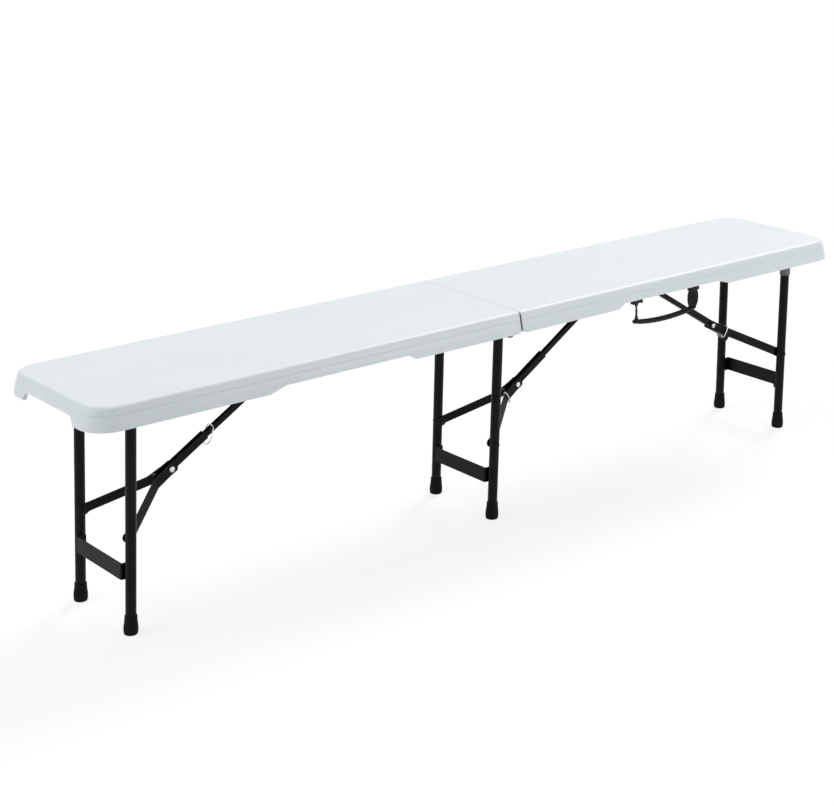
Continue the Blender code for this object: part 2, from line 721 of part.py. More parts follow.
def build_anchor(frame):
    """The bracket under the seat that holds the link, and its pin."""
    place = frame.world(frame.anchor)
    ear = LINK_HALF_WIDTH + GAP
    plate = CEILING_Z - GAP
    low = plate - BRACKET_THICKNESS
    half = ear + BRACKET_THICKNESS
    foot = half + BRACKET_FOOT
    outline = [
        (-foot, plate), (-foot, low), (-half, low), (-half, place.z - 0.007),
        (-ear, place.z - 0.007), (-ear, plate - 0.0008), (ear, plate - 0.0008),
        (ear, place.z - 0.007), (half, place.z - 0.007), (half, low), (foot, low), (foot, plate),
    ]

    def across(a, b, c):
        return Vector((place.x + c, a, b))

    name = frame.side + "_brace_bracket"
    shape = prism(outline, -BRACKET_HALF_LENGTH, BRACKET_HALF_LENGTH, across)
    bracket = node(name, "black_paint", *shape, place)
    bore = PIN_RADIUS + GAP
    span = half + 0.01
    cut(bracket, name + "_bore", turned(((-span, bore), (span, bore)), place, (0, 1, 0), 16))

    seat = half + GAP
    head = dome(seat, PIN_RADIUS + 0.0018, 0.0016)
    other = [(-d, r) for d, r in reversed(head)]
    profile = other + [(-seat, PIN_RADIUS), (seat, PIN_RADIUS)] + head
    node(frame.side + "_brace_pin", "zinc", *turned(profile, place, (0, 1, 0), 16), place)


def build_saddle(frame, label, sign):
    """A strap that holds the hinge tube up against the underside."""
    radius = AXLE_RADIUS + GAP
    outer = radius + SADDLE_THICKNESS
    hinge = frame.hinge
    plate = CEILING_Z - GAP - hinge.z
    low = plate - SADDLE_THICKNESS
    foot = outer + SADDLE_FOOT
    outline = [(-foot, plate), (-foot, low), (-outer, low)]
    outline += arc((0.0, 0.0), outer, 180, 360, 12)
    outline += [(outer, low), (foot, low), (foot, plate), (radius, plate)]
    outline += arc((0.0, 0.0), radius, 360, 180, 12)
    outline += [(-radius, plate)]
    y = sign * SADDLE_AT

    def place(a, b, c):
        return Vector((hinge.x + a, c, hinge.z + b))

    name = "%s_saddle_%s" % (frame.side, label)
    shape = prism(outline, y - SADDLE_WIDTH / 2, y + SADDLE_WIDTH / 2, place)
    node(name, "black_paint", *shape, hinge)


def build_leaf(half_name, turn, label, sign):
    """A hinge plate that hangs from one half and turns on the middle frame's hinge tube."""
    name = "seam_leaf_%s_%s" % (half_name, label)
    centre_y = LEFT_LEAF_AT if half_name == "left" else LEFT_LEAF_AT + LEAF_PITCH
    plate = CEILING_Z - GAP - FOLD_Z
    radius = LEAF_RADIUS
    outline = arc((0.0, 0.0), radius, 48, 290, 20)
    outline += [(LEAF_REACH - 0.010, plate - 0.012), (LEAF_REACH, plate - 0.004),
                (LEAF_REACH, plate), (LEAF_FLANGE_START, plate)]

    def place(a, b, c):
        return Vector((turn * a, c, FOLD_Z + b))

    y = sign * centre_y
    shape = prism(outline, y - LEAF_THICKNESS / 2, y + LEAF_THICKNESS / 2, place)
    leaf = node(name, "black_paint", *shape, (0.0, 0.0, FOLD_Z))
    inner = sign * (centre_y - LEAF_THICKNESS / 4)
    flange = ((LEAF_FLANGE_START, plate - LEAF_THICKNESS), (LEAF_REACH, plate - LEAF_THICKNESS),
              (LEAF_REACH, plate), (LEAF_FLANGE_START, plate))
    add(leaf, name + "_flange", prism(flange, inner, inner - sign * LEAF_FLANGE, place))
    bore = AXLE_RADIUS + GAP
    span = 0.004
    centre = (0.0, y, FOLD_Z)
    cut(leaf, name + "_bore", turned(((-span, bore), (span, bore)), centre, (0, 1, 0), 24))


def build_cap(label, sign):
    """The bright cap on each end of the seam's hinge tube."""
    start = HUB_END + GAP
    profile = [(start, CAP_RADIUS)] + dome(start + CAP_HEIGHT * 0.3, CAP_RADIUS, CAP_HEIGHT * 0.7)
    shape = turned(profile, (0.0, 0.0, FOLD_Z), (0, sign, 0), 20)
    node("seam_cap_" + label, "zinc", *shape, (0.0, 0.0, FOLD_Z))


def blade(x, sign, full_width, twist):
    """One strap arm of the handle, hanging from its eye and twisted along its length."""
    rings = []
    steps = 8
    y0 = -WIDTH / 2 + HANDLE_SETBACK
    overlap = BLADE_THICKNESS / 4
    for i in range(steps + 1):
        s = i / steps
        z = FOLD_Z + overlap - (HANDLE_DROP + 2.0 * overlap) * s
        a = math.radians(twist) * math.sin(math.pi * s) * -sign
        width = full_width / 2 * (BLADE_ROOT + (1.0 - BLADE_ROOT) * math.sin(math.pi * s))
        across = Vector((math.cos(a), math.sin(a), 0.0))
        thick = Vector((-math.sin(a), math.cos(a), 0.0)) * (BLADE_THICKNESS / 2)
        centre = Vector((x, y0, z))
        rings.append([centre - across * width - thick, centre + across * width - thick,
                      centre + across * width + thick, centre - across * width + thick])
    return triangles(*loft(rings))


def handle_grip():
    """The bowed grip between the two arms, oval in section."""
    rings = []
    steps = 12
    y0 = -WIDTH / 2 + HANDLE_SETBACK
    reach = HANDLE_HALF_SPAN + GRIP_BEYOND
    for i in range(steps + 1):
        s = 2.0 * i / steps - 1.0
        x = HANDLE_CENTRE + reach * s
        z = FOLD_Z - HANDLE_DROP - HANDLE_SAG * (1.0 - s * s)
        taper = 0.72 + 0.28 * math.sqrt(max(1.0 - s ** 6, 0.0))
        ring = []
        for j in range(12):
            a = 2.0 * math.pi * j / 12
            dy = GRIP_HALF_DEPTH * taper * math.cos(a)
            dz = GRIP_HALF_HEIGHT * taper * math.sin(a)
            ring.append(Vector((x, y0 + dy, z + dz)))
        rings.append(ring)
    return loft(rings)


def build_handle():
    """The carry handle: a base with two lugged pins behind the skirt, and the handle on them."""
    y0 = -WIDTH / 2 + HANDLE_SETBACK
    axis = Vector((HANDLE_CENTRE, y0, FOLD_Z))
    handle = node("handle", "black_plastic", *handle_grip(), axis)
    for label, sign, width, twist in BLADES:
        x = HANDLE_CENTRE + sign * HANDLE_HALF_SPAN
        add(handle, "handle_blade_" + label, blade(x, sign, width, twist))
        eye = turned(((-EYE_HALF, EYE_RADIUS), (EYE_HALF, EYE_RADIUS)), (x, y0, FOLD_Z), (1, 0, 0), 16)
        add(handle, "handle_eye_" + label, eye)
    reach = HANDLE_HALF_SPAN + 2.0 * EYE_HALF
    hole = PIVOT_RADIUS + GAP
    cut(handle, "handle_bore", turned(((-reach, hole), (reach, hole)), axis, (1, 0, 0), 16))

    plate = CEILING_Z - GAP
    low = FOLD_Z + BASE_RISE
    end = HANDLE_HALF_SPAN + EYE_HALF + GAP + LUG_THICKNESS
    corner = (HANDLE_CENTRE - end, y0 - BASE_HALF_DEPTH, low)
    other = (HANDLE_CENTRE + end, y0 + BASE_HALF_DEPTH, plate)
    base = node("handle_base", "black_plastic", *box(corner, other), axis)
    lug_low = FOLD_Z - EYE_RADIUS
    pin = EYE_HALF + GAP + LUG_THICKNESS / 2
    for i, offset in enumerate((-1, 1)):
        middle = (HANDLE_CENTRE + offset * HANDLE_HALF_SPAN, y0, FOLD_Z)
        shape = turned(((-pin, PIVOT_RADIUS), (pin, PIVOT_RADIUS)), middle, (1, 0, 0), 12)
        add(base, "handle_pin_%d" % i, shape)
        for j, inner in enumerate((-1, 1)):
            x = HANDLE_CENTRE + offset * HANDLE_HALF_SPAN + inner * (EYE_HALF + GAP + LUG_THICKNESS / 2)
            half = LUG_THICKNESS / 2
            lug = box((x - half, y0 - EYE_RADIUS, lug_low), (x + half, y0 + EYE_RADIUS, low + 0.002))
            add(base, "handle_lug_%d%d" % (i, j), lug)


def build_collar(frame):
    """The grey sleeve at the top of the right frame's near leg."""
    y = frame.own_side(-1) * LEG_SPREAD
    inner = LEG_RADIUS + GAP
    outer = inner + COLLAR_WALL
    rings = []
    levels = ((COLLAR_DROP, outer), (COLLAR_DROP + COLLAR_LENGTH, outer),
              (COLLAR_DROP + COLLAR_LENGTH, inner), (COLLAR_DROP, inner))
    for down, radius in levels:
        centre = frame.on_leg(0.0, y, down)
        across = (frame.on_leg(1.0, y, down) - centre).normalized()
        rings.append(circle(centre, across, Vector((0, 1, 0)), radius, 20))
    node("right_leg_collar", "grey_plastic", *loft(rings, capped=False), frame.hinge)


def build_frame(frame):
    """Everything of one leg frame and its brace."""
    build_legs(frame)
    build_feet(frame)
    build_rail(frame)
    build_link(frame)
    build_ring(frame)
    build_anchor(frame)
    for label, sign in SIDES:
        build_arm(frame, label, sign)
        build_rivets(frame, label, sign)
        if frame.side != "mid":
            build_saddle(frame, label, sign)


def build_bench():
    """The whole bench, unfolded and standing."""
    clear_scene()
    build_seat("left", -1, LEFT_POCKETS)
    build_seat("right", 1, RIGHT_POCKETS)
    frames = {side: Frame(side, data) for side, data in FRAMES.items()}
    for frame in frames.values():
        build_frame(frame)
    for label, sign in SIDES:
        build_leaf("left", -1, label, sign)
        build_leaf("right", 1, label, sign)
        build_cap(label, sign)
    build_handle()
    build_collar(frames["right"])


build_bench()
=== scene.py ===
# Looks for the folding bench: materials, small hardware, floor, light and camera
import json
import math

import bmesh
import bpy
from mathutils import Matrix, Vector


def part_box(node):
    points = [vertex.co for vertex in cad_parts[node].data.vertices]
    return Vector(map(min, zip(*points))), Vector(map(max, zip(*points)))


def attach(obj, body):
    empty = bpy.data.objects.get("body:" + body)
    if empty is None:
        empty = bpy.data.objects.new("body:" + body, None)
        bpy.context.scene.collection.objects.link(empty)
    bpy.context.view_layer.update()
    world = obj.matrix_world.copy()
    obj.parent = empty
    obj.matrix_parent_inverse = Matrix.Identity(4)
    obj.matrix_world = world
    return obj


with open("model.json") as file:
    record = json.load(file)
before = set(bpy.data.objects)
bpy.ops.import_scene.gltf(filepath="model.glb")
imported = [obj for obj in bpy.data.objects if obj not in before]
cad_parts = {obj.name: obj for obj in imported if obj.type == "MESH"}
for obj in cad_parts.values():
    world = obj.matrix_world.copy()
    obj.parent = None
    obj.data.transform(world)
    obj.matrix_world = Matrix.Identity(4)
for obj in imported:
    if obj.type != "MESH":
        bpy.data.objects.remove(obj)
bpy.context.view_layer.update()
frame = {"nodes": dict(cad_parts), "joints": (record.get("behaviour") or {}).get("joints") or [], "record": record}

# Place of the hinge on which each body turns
HINGES = {joint["child"]: joint["pos_m"] for joint in frame["joints"]}

# Camera solved on the photograph, which is 834 by 806 pixels: metres, millimetres of lens and
# sensor, and degrees of roll
CAMERA_AT = (-2.23432, -2.60249, 1.38761)
CAMERA_FORWARD = (0.5948, 0.7358, -0.3238)
CAMERA_ROLL = -0.039
LENS = 79.154
SENSOR = 36.0
CLIP_START = 0.05
CLIP_END = 60.0

# World: strength of its light, strength from the shaded side, that side, the light's colour, and
# what the camera sees
SKY = 0.54
SKY_SHADED = 0.26
SHADED_SIDE = (-0.55, -0.835, 0.0)
SKY_TINT = (0.975, 0.99, 1.0, 1.0)
WHITE = (1.0, 1.0, 1.0, 1.0)

# Suns: name, azimuth, elevation, strength, width of the sun in degrees
SUNS = (
    ("key", 24.0, 44.0, 1.24, 22.0),
    ("side", 165.0, 35.0, 0.93, 50.0),
)

# Square lamp: name, place, target, size, power
PANEL = ("front_right", (1.1, -2.1, 0.9), (0.5, -0.15, 0.40), 1.0, 10.5)

# Floor: noise and stops of its colour for light, its colour and glow for the camera, roughness, size
FLOOR_CLOUD = (1.2, 2.0)
FLOOR_TINTS = ((0.3, (0.755, 0.762, 0.775)), (0.7, (0.770, 0.775, 0.785)))
FLOOR_SEEN = (0.30, 0.305, 0.315, 1.0)
FLOOR_LIFT = 0.74
FLOOR_ROUGHNESS = 0.9
FLOOR_RADIUS = 14.0
FLOOR_STEPS = 64

# Usual limits of a noise value
NOISE_LOW = 0.3
NOISE_HIGH = 0.7

# Edges sharper than this, in degrees, aren't smoothed
SHARP_ANGLE = 40.0

# Thickness of the sheet of the saddles and brackets, and of the seam hinge's leaves
STRAP_THICKNESS = 0.0015
LEAF_THICKNESS = 0.0020

# Screws: radii, height of the head, and the turn from one cross recess to the next in radians
SCREW_RADIUS = 0.0042
BRACKET_SCREW_RADIUS = 0.0034
SCREW_HEIGHT = 0.0022
SCREW_TURN = 0.7

# Profile of a screw head as shares of its radius and height, and its cross recess: reach and half
# width of an arm as shares of the radius, then how the recess narrows and where it ends
HEAD_LEVELS = ((1.0, 0.0), (1.0, 0.30), (0.93, 0.62), (0.78, 0.86), (0.66, 0.95))
CROSS_REACH = 0.52
CROSS_HALF = 0.13
CROSS_TAPER = 0.8
CROSS_FLOOR = 0.35

# Distances of the screws from the ends of the piece that they hold, and across the leaves' flanges
SADDLE_INSET = 0.007
BRACKET_INSET = 0.0045
FLANGE_INSETS = (0.008, 0.029)
FLANGE_HALF_WIDTH = 0.006

# Leg frames: way along the bench from the legs to their brace, lean of the legs away from it in
# degrees, and distance down the leg from the hinge to the middle of the rail
LEG_FRAMES = {
    "left": {"way": 1, "lean": 3.3, "rail": 0.2963},
    "mid": {"way": 1, "lean": 1.6, "rail": 0.3046},
    "right": {"way": -1, "lean": 1.3, "rail": 0.3013},
}

# Radii of the hinge tubes and legs, and places across the bench of the legs and of the ends of
# the outer tubes
TUBE_RADIUS = 0.0100
LEG_RADIUS = 0.0095
LEG_Y = 0.0868
TUBE_END = 0.103

# Weld beads round the legs' tops: mean radius, how much it swells, and the swell's pace
TOP_BEAD = 0.0013
TOP_BEAD_SWELL = 0.0003
TOP_BEAD_PACE = 5.0

# Weld beads along the rails' bent ends: starts from the rail's middle, step, number of points,
# distances toward the brace and inside the leg, radius without the swell, and the swell
RAIL_BEAD_STARTS = (-0.012, 0.004)
RAIL_BEAD_STEP = 0.001
RAIL_BEAD_STEPS = 9
RAIL_BEAD_TOWARD = 0.0058
RAIL_BEAD_INSIDE = 0.0002
RAIL_BEAD = 0.0004
RAIL_BEAD_SWELL = 0.0008

# Profile of a tube plug: radius, distance out of the tube's end
PLUG_LEVELS = ((0.0093, 0.0), (0.0093, 0.0008), (0.0086, 0.0014), (0.0040, 0.0016), (0.0034, 0.0009))

# Steps round screw heads, weld paths and plugs, and round the beads themselves
ROUND_STEPS = 24
BEAD_STEPS = 8

# Painted shade of the gap on the rounded edges of the seam, by distance from it, by height and by how far the face
# looks along the bench, so the flat end walls stay unshaded: from, to, share at each; then the shade's colour
SEAM_BESIDE = (0.0010, 0.0026, 1.0, 0.0)
SEAM_HEIGHT = (0.4270, 0.4325, 1.0, 0.12)
SEAM_FACING = (0.93, 0.985, 1.0, 0.0)
SEAM_SHADE_COLOUR = (0.060, 0.060, 0.063, 1.0)


# Nodes

def node(tree, kind, inputs=None, **settings):
    """A new node with its settings, and each input linked to an output or set to a value."""
    made = tree.nodes.new(kind)
    for name, value in settings.items():
        setattr(made, name, value)
    for socket, value in (inputs or {}).items():
        if isinstance(value, bpy.types.NodeSocket):
            tree.links.new(value, made.inputs[socket])
        else:
            made.inputs[socket].default_value = value
    return made


def coordinates(tree, kind="Object"):
    """Texture coordinates; those of the object are metres."""
    return tree.nodes.new("ShaderNodeTexCoord").outputs[kind]


def noise(tree, place, scale, detail=3.0, roughness=0.5):
    """Noise with its scale in cells per metre."""
    inputs = {"Vector": place, "Scale": scale, "Detail": detail, "Roughness": roughness}
    return node(tree, "ShaderNodeTexNoise", inputs).outputs["Fac"]


def cells(tree, place, scale):
    """Rounded cells of a moulded or sprayed grain."""
    inputs = {"Vector": place, "Scale": scale}
    return node(tree, "ShaderNodeTexVoronoi", inputs, feature="SMOOTH_F1").outputs["Distance"]


def ramp(tree, value, stops):
    """A colour ramp from (position, colour) stops."""
    made = node(tree, "ShaderNodeValToRGB", {"Fac": value})
    elements = made.color_ramp.elements
    while len(elements) < len(stops):
        elements.new(0.5)
    for element, (position, colour) in zip(elements, stops):
        element.position = position
        element.color = (*colour, 1.0)
    return made.outputs["Color"]


def remap(tree, value, limits):
    """Map a value from between two limits to between two others."""
    inputs = dict(zip(("From Min", "From Max", "To Min", "To Max"), limits))
    inputs["Value"] = value
    return node(tree, "ShaderNodeMapRange", inputs).outputs["Result"]


def arithmetic(tree, operation, *values):
    """The result of a sum on one value or two."""
    return node(tree, "ShaderNodeMath", dict(enumerate(values)), operation=operation).outputs[0]


def mix_colours(tree, share, first, second):
    """A colour between two, by the share of the second."""
    inputs = {"Factor": share, "A": first, "B": second}
    return node(tree, "ShaderNodeMix", inputs, data_type="RGBA").outputs["Result"]


def bump(tree, shader, layers):
    """Chain bump layers of (height, strength, depth in metres) into the shader."""
    normal = None
    for height, strength, distance in layers:
        inputs = {"Height": height, "Strength": strength, "Distance": distance}
        if normal is not None:
            inputs["Normal"] = normal
        normal = node(tree, "ShaderNodeBump", inputs).outputs["Normal"]
    tree.links.new(normal, shader.inputs["Normal"])


# Materials

def new_look(name, cloud, tints, smear, roughness, layers, specular=0.5):
    """A material of clouded colour, uneven roughness and bump, with its tree and shader.

    cloud and smear are the noises of the colour and of the roughness, tints the colour's stops,
    and each layer of bump is a pattern, its values, its strength and its depth in metres.
    """
    material = bpy.data.materials.new(name)
    material.use_nodes = True
    tree = material.node_tree
    shader = tree.nodes["Principled BSDF"]
    place = coordinates(tree)
    colour = ramp(tree, noise(tree, place, *cloud), tints)
    tree.links.new(colour, shader.inputs["Base Color"])
    shine = remap(tree, noise(tree, place, *smear), (NOISE_LOW, NOISE_HIGH, *roughness))
    tree.links.new(shine, shader.inputs["Roughness"])
    shader.inputs["Specular IOR Level"].default_value = specular
    heights = [(pattern(tree, place, *values), strength, distance)
               for pattern, values, strength, distance in layers]
    bump(tree, shader, heights)
    return material, tree, shader


def painted_seam_shade(tree):
    """Share of painted shade on the seam's rounded edges, standing in for the dark gap between the halves."""
    place, facing = coordinates(tree), coordinates(tree, "Normal")
    shares = []
    for vector, axis, limits in (
        (place, "X", SEAM_BESIDE), (place, "Z", SEAM_HEIGHT), (facing, "X", SEAM_FACING),
    ):
        along = node(tree, "ShaderNodeSeparateXYZ", {"Vector": vector}).outputs[axis]
        shares.append(remap(tree, arithmetic(tree, "ABSOLUTE", along), limits))
    beside, height, face = shares
    return arithmetic(tree, "MULTIPLY", arithmetic(tree, "MULTIPLY", beside, height), face)


def seat_plastic():
    """Pale blow-moulded plastic, fine pebble grain, faint unevenness of the wall, painted shade at the seam."""
    material, tree, shader = new_look(
        "seat_plastic_look",
        cloud=(7.0, 4.0),
        tints=((0.30, (0.770, 0.826, 0.842)), (0.70, (0.800, 0.853, 0.866))),
        smear=(160.0,),
        roughness=(0.30, 0.42),
        layers=((noise, (9.0, 2.0), 0.12, 0.0012), (cells, (620.0,), 0.10, 0.00022),
                (noise, (1500.0, 2.0), 0.10, 0.0001)),
        specular=0.45)
    base = shader.inputs["Base Color"]
    unshaded_colour = base.links[0].from_socket
    # Painted shade: the seam's rounded edges are darkened where the gap between the halves falls dark
    tree.links.new(mix_colours(tree, painted_seam_shade(tree), unshaded_colour, SEAM_SHADE_COLOUR), base)
    shader.inputs["Subsurface Weight"].default_value = 0.06
    shader.inputs["Subsurface Radius"].default_value = (0.004, 0.004, 0.005)
    shader.inputs["Subsurface Scale"].default_value = 1.0
    return material


def black_paint():
    """Baked black powder paint with its orange peel and a few rubbed places."""
    return new_look(
        "black_paint_look",
        cloud=(40.0, 5.0, 0.6),
        tints=((0.35, (0.0027, 0.0027, 0.0029)), (0.62, (0.0040, 0.0040, 0.0043)),
               (0.80, (0.0070, 0.0070, 0.0073))),
        smear=(90.0, 4.0),
        roughness=(0.30, 0.46),
        layers=((noise, (420.0, 2.0), 0.22, 0.00022), (noise, (1800.0, 2.0), 0.10, 0.00008)),
        specular=0.11)[0]


def rubber():
    """Matt moulded rubber, slightly dusty."""
    return new_look(
        "rubber_look",
        cloud=(65.0, 5.0, 0.65),
        tints=((0.35, (0.0028, 0.0028, 0.0028)), (0.75, (0.0066, 0.0065, 0.0064))),
        smear=(220.0,),
        roughness=(0.66, 0.84),
        layers=((noise, (1200.0, 3.0), 0.25, 0.00015),),
        specular=0.12)[0]


def zinc():
    """Bright zinc plate with faint drawing marks and cloudy patches."""
    material, tree, shader = new_look(
        "zinc_look",
        cloud=(240.0, 4.0),
        tints=((0.30, (0.52, 0.53, 0.55)), (0.70, (0.72, 0.73, 0.74))),
        smear=(700.0, 3.0),
        roughness=(0.20, 0.38),
        layers=((noise, (2400.0, 2.0), 0.15, 0.00006),))
    shader.inputs["Metallic"].default_value = 1.0
    return material


def black_plastic():
    """Black moulded plastic with a fine leather grain."""
    return new_look(
        "black_plastic_look",
        cloud=(70.0, 3.0),
        tints=((0.30, (0.0032, 0.0032, 0.0034)), (0.70, (0.0060, 0.0060, 0.0063))),
        smear=(300.0,),
        roughness=(0.42, 0.58),
        layers=((cells, (900.0,), 0.25, 0.00018),),
        specular=0.18)[0]


def grey_plastic():
    """Grey moulded plastic sleeve with scuffs."""
    return new_look(
        "grey_plastic_look",
        cloud=(260.0, 4.0, 0.7),
        tints=((0.34, (0.055, 0.055, 0.057)), (0.52, (0.125, 0.127, 0.130)),
               (0.72, (0.24, 0.245, 0.25))),
        smear=(500.0,),
        roughness=(0.40, 0.60),
        layers=((noise, (900.0, 2.0), 0.20, 0.00015),))[0]


LOOKS = {
    "seat_plastic": seat_plastic(),
    "black_paint": black_paint(),
    "rubber": rubber(),
    "zinc": zinc(),
    "black_plastic": black_plastic(),
    "grey_plastic": grey_plastic(),
}


def dress_nodes():
    """Give every CAD node the look of its material slot."""
    for entry in frame["record"]["subparts"]:
        obj = frame["nodes"][entry["node"]]
        obj.data.materials.clear()
        obj.data.materials.append(LOOKS[entry["material_slot"]])


# Small hardware that rides on the CAD bodies

def add_object(name, data):
    """A new object in the scene."""
    obj = bpy.data.objects.new(name, data)
    bpy.context.scene.collection.objects.link(obj)
    return obj


def add_piece(name, work, body, look):
    """Turn a bmesh into a piece that moves with a body."""
    mesh = bpy.data.meshes.new(name)
    bmesh.ops.recalc_face_normals(work, faces=work.faces)
    work.to_mesh(mesh)
    work.free()
    mesh.materials.append(LOOKS[look])
    mesh.shade_smooth()
    mesh.set_sharp_from_angle(angle=math.radians(SHARP_ANGLE))
    obj = add_object(name, mesh)
    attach(obj, body)


def around(steps):
    """Angles of equal steps round a circle."""
    return [2.0 * math.pi * k / steps for k in range(steps)]


def stitch(work, rings, closed=False):
    """Faces between each ring and the next, and from the last to the first if closed."""
    following = rings[1:] + rings[:1] if closed else rings[1:]
    for first, second in zip(rings, following):
        for k in range(len(first)):
            ahead = (k + 1) % len(first)
            work.faces.new((first[k], first[ahead], second[ahead], second[k]))


def tube(work, path, radii, closed=False):
    """A round tube along a path, with a radius for each point."""
    count = len(path)
    rings = []
    for i, (point, radius) in enumerate(zip(path, radii)):
        before = path[(i - 1) % count] if closed or i else path[i]
        after = path[(i + 1) % count] if closed or i < count - 1 else path[i]
        along = (after - before).normalized()
        across = along.orthogonal().normalized() if i == 0 else across - along * across.dot(along)
        across.normalize()
        up = along.cross(across)
        rings.append([
            work.verts.new(point + across * (radius * math.cos(a)) + up * (radius * math.sin(a)))
            for a in around(BEAD_STEPS)
        ])
    stitch(work, rings, closed)
    if not closed:
        work.faces.new(rings[0][::-1])
        work.faces.new(rings[-1])


def screw_head(work, at, radius, turn):
    """A pan head with a cross recess, seated at a point and facing down."""
    basis = Vector((0.0, 0.0, -1.0)).to_track_quat("Z", "Y").to_matrix().to_4x4()
    place = Matrix.Translation(Vector(at)) @ basis @ Matrix.Rotation(turn, 4, "Z")
    rings = []
    for share, rise in HEAD_LEVELS:
        points = [(radius * share * math.cos(a), radius * share * math.sin(a), SCREW_HEIGHT * rise)
                  for a in around(ROUND_STEPS)]
        rings.append([work.verts.new(place @ Vector(point)) for point in points])
    stitch(work, rings)
    long, slim = radius * CROSS_REACH, radius * CROSS_HALF
    cross = (
        (long, -slim), (long, slim), (slim, slim), (slim, long), (-slim, long), (-slim, slim),
        (-long, slim), (-long, -slim), (-slim, -slim), (-slim, -long), (slim, -long), (slim, -slim),
    )
    rim = [work.verts.new(place @ Vector((x, y, SCREW_HEIGHT))) for x, y in cross]
    floor = [work.verts.new(place @ Vector((x * CROSS_TAPER, y * CROSS_TAPER, SCREW_HEIGHT * CROSS_FLOOR)))
             for x, y in cross]
    outer = rings[-1]
    for k in range(len(cross)):
        # Two steps of the round edge belong to each corner of the cross
        ahead = (k + 1) % len(cross)
        first, middle, last = (outer[(2 * k + step) % ROUND_STEPS] for step in (-1, 0, 1))
        work.faces.new((first, middle, rim[k]))
        work.faces.new((middle, last, rim[ahead], rim[k]))
        work.faces.new((rim[k], rim[ahead], floor[ahead], floor[k]))
    work.faces.new(floor)
    work.faces.new(rings[0][::-1])


def screws(name, body, places, radius=SCREW_RADIUS):
    """Several screw heads of one body as one piece."""
    work = bmesh.new()
    for i, at in enumerate(places):
        screw_head(work, at, radius, SCREW_TURN * i)
    add_piece(name, work, body, "zinc")


def underside_screws():
    """Screws through the feet of the saddles, the brace brackets and the flanges of the seam hinge."""
    for side, body in (("left", "left_half"), ("right", "right_half")):
        places = []
        for label in ("near", "far"):
            low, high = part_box("%s_saddle_%s" % (side, label))
            y = (low.y + high.y) / 2
            for x in (low.x + SADDLE_INSET, high.x - SADDLE_INSET):
                places.append((x, y, high.z - STRAP_THICKNESS))
            low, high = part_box("seam_leaf_%s_%s" % (side, label))
            y = high.y - FLANGE_HALF_WIDTH if label == "near" else low.y + FLANGE_HALF_WIDTH
            tip, way = (low.x, 1) if side == "left" else (high.x, -1)
            for inset in FLANGE_INSETS:
                places.append((tip + way * inset, y, high.z - LEAF_THICKNESS))
        screws("%s_saddle_screws" % side, body, places)
    for side, body in (("left", "left_half"), ("mid", "right_half"), ("right", "right_half")):
        low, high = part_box("%s_brace_bracket" % side)
        x = (low.x + high.x) / 2
        z = high.z - STRAP_THICKNESS
        places = [(x, y, z) for y in (low.y + BRACKET_INSET, high.y - BRACKET_INSET)]
        screws("%s_bracket_screws" % side, body, places, BRACKET_SCREW_RADIUS)


def on_leg(name, toward, y, down):
    """World place by distances toward the brace, across, and down the leg."""
    legs = LEG_FRAMES[name]
    hinge_x, _, hinge_z = HINGES["%s_frame" % name]
    a = math.radians(legs["lean"])
    along = math.cos(a) * toward - math.sin(a) * down
    up = -math.cos(a) * down - math.sin(a) * toward
    return Vector((hinge_x + legs["way"] * along, y, hinge_z + up))


def weld_beads():
    """Beads round the tops of the legs and along the bent ends of the rails."""
    top_radii = [TOP_BEAD + TOP_BEAD_SWELL * math.sin(TOP_BEAD_PACE * k) for k in range(ROUND_STEPS)]
    rail_radii = [RAIL_BEAD + RAIL_BEAD_SWELL * math.sin(math.pi * (k + 1) / (RAIL_BEAD_STEPS + 1))
                  for k in range(RAIL_BEAD_STEPS)]
    for name, legs in LEG_FRAMES.items():
        work = bmesh.new()
        for sign in (-1, 1):
            path = []
            for a in around(ROUND_STEPS):
                toward = LEG_RADIUS * math.cos(a)
                down = math.sqrt(TUBE_RADIUS ** 2 - toward ** 2)
                path.append(on_leg(name, toward, sign * LEG_Y + LEG_RADIUS * math.sin(a), down))
            tube(work, path, top_radii, closed=True)
            side = sign * (LEG_Y - LEG_RADIUS + RAIL_BEAD_INSIDE)
            for start in RAIL_BEAD_STARTS:
                seam = [on_leg(name, RAIL_BEAD_TOWARD, side, legs["rail"] + start + RAIL_BEAD_STEP * k)
                        for k in range(RAIL_BEAD_STEPS)]
                tube(work, seam, rail_radii)
        add_piece("%s_weld_beads" % name, work, "%s_frame" % name, "black_paint")


def tube_plugs():
    """Moulded plugs in the open ends of the outer hinge tubes."""
    for name in ("left", "right"):
        hinge_x, _, hinge_z = HINGES["%s_frame" % name]
        work = bmesh.new()
        for sign in (-1, 1):
            rings = [
                [work.verts.new((hinge_x + radius * math.cos(a), sign * (TUBE_END + rise),
                                 hinge_z + radius * math.sin(a)))
                 for a in around(ROUND_STEPS)]
                for radius, rise in PLUG_LEVELS
            ]
            stitch(work, rings)
            work.faces.new(rings[0][::-1])
            work.faces.new(rings[-1])
        add_piece("%s_tube_plugs" % name, work, "%s_frame" % name, "black_plastic")


# Floor, light and camera

def camera_rays(tree):
    """One where a ray comes from the camera or is a mirror or glass ray."""
    path = tree.nodes.new("ShaderNodeLightPath")
    total = path.outputs["Is Camera Ray"]
    for extra in ("Is Glossy Ray", "Is Transmission Ray"):
        total = arithmetic(tree, "MAXIMUM", total, path.outputs[extra])
    return total


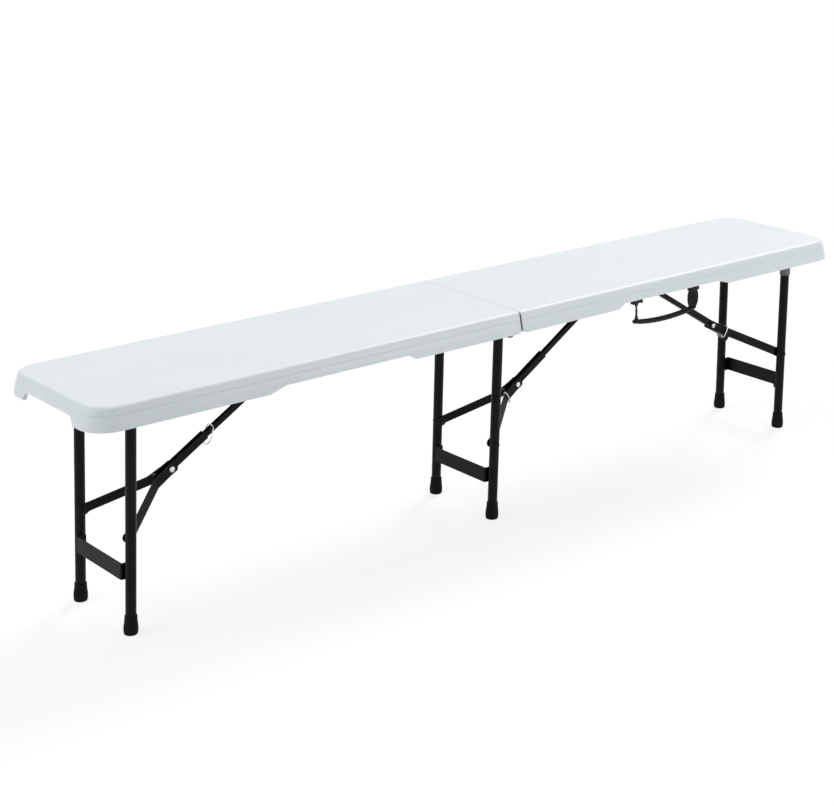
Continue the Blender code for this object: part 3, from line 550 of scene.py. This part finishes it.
def floor_look():
    """Matt pale material that glows for the camera and is clear from below."""
    material = bpy.data.materials.new("floor_white")
    material.use_nodes = True
    tree = material.node_tree
    shader = tree.nodes["Principled BSDF"]
    tint = ramp(tree, noise(tree, coordinates(tree), *FLOOR_CLOUD), FLOOR_TINTS)
    seen = camera_rays(tree)
    tree.links.new(mix_colours(tree, seen, tint, FLOOR_SEEN), shader.inputs["Base Color"])
    shader.inputs["Roughness"].default_value = FLOOR_ROUGHNESS
    shader.inputs["Specular IOR Level"].default_value = 0.0
    shader.inputs["Emission Color"].default_value = WHITE
    glow = arithmetic(tree, "MULTIPLY", seen, FLOOR_LIFT)
    tree.links.new(glow, shader.inputs["Emission Strength"])
    below = tree.nodes.new("ShaderNodeNewGeometry").outputs["Backfacing"]
    clear = tree.nodes.new("ShaderNodeBsdfTransparent").outputs["BSDF"]
    sides = node(tree, "ShaderNodeMixShader", {0: below, 1: shader.outputs["BSDF"], 2: clear})
    tree.links.new(sides.outputs["Shader"], tree.nodes["Material Output"].inputs["Surface"])
    return material


def build_floor():
    """A round pale floor that keeps soft shadows and fades into the white background."""
    work = bmesh.new()
    ring = [work.verts.new((FLOOR_RADIUS * math.cos(a), FLOOR_RADIUS * math.sin(a), 0.0))
            for a in around(FLOOR_STEPS)]
    work.faces.new(ring)
    mesh = bpy.data.meshes.new("floor")
    work.to_mesh(mesh)
    work.free()
    mesh.materials.append(floor_look())
    obj = add_object("floor", mesh)


def build_world():
    """Pale light all round, weaker from the front left, and seen as pure white."""
    world = bpy.data.worlds.new("studio")
    bpy.context.scene.world = world
    world.use_nodes = True
    tree = world.node_tree
    back = tree.nodes["Background"]
    seen = camera_rays(tree)
    tree.links.new(mix_colours(tree, seen, SKY_TINT, WHITE), back.inputs["Color"])
    toward = node(tree, "ShaderNodeVectorMath", {0: coordinates(tree, "Generated"), 1: SHADED_SIDE},
                  operation="DOT_PRODUCT")
    sky = remap(tree, toward.outputs["Value"], (0.0, 1.0, SKY, SKY_SHADED))
    tree.links.new(remap(tree, seen, (0.0, 1.0, sky, 1.0)), back.inputs["Strength"])


def add_lamp(name, kind, power, toward):
    """A lamp of a kind that shines from a direction."""
    lamp = bpy.data.lights.new(name, kind)
    lamp.energy = power
    obj = add_object(name, lamp)
    obj.rotation_mode = "QUATERNION"
    obj.rotation_quaternion = toward.to_track_quat("Z", "Y")
    return obj


def build_sun(name, azimuth, elevation, strength, width):
    """A soft far lamp that shines from an azimuth and an elevation."""
    a, e = math.radians(azimuth), math.radians(elevation)
    toward = Vector((math.cos(a) * math.cos(e), math.sin(a) * math.cos(e), math.sin(e)))
    obj = add_lamp(name, "SUN", strength, toward)
    obj.data.angle = math.radians(width)


def build_panel(name, place, target, size, power):
    """A soft square lamp at a place, turned to a target."""
    obj = add_lamp(name, "AREA", power, Vector(place) - Vector(target))
    obj.data.size = size
    obj.location = place


def build_camera():
    """The camera at the photograph's place."""
    data = bpy.data.cameras.new("camera")
    data.lens = LENS
    data.sensor_width = SENSOR
    data.clip_start = CLIP_START
    data.clip_end = CLIP_END
    obj = add_object("camera", data)
    obj.location = CAMERA_AT
    obj.rotation_mode = "QUATERNION"
    look = Vector(CAMERA_FORWARD).to_track_quat("-Z", "Y")
    roll = Matrix.Rotation(math.radians(CAMERA_ROLL), 3, "Z").to_quaternion()
    obj.rotation_quaternion = look @ roll
    bpy.context.scene.camera = obj


dress_nodes()
underside_screws()
weld_beads()
tube_plugs()
build_floor()
build_world()
for sun in SUNS:
    build_sun(*sun)
build_panel(*PANEL)
build_camera()
bpy.context.scene.view_settings.view_transform = "Standard"
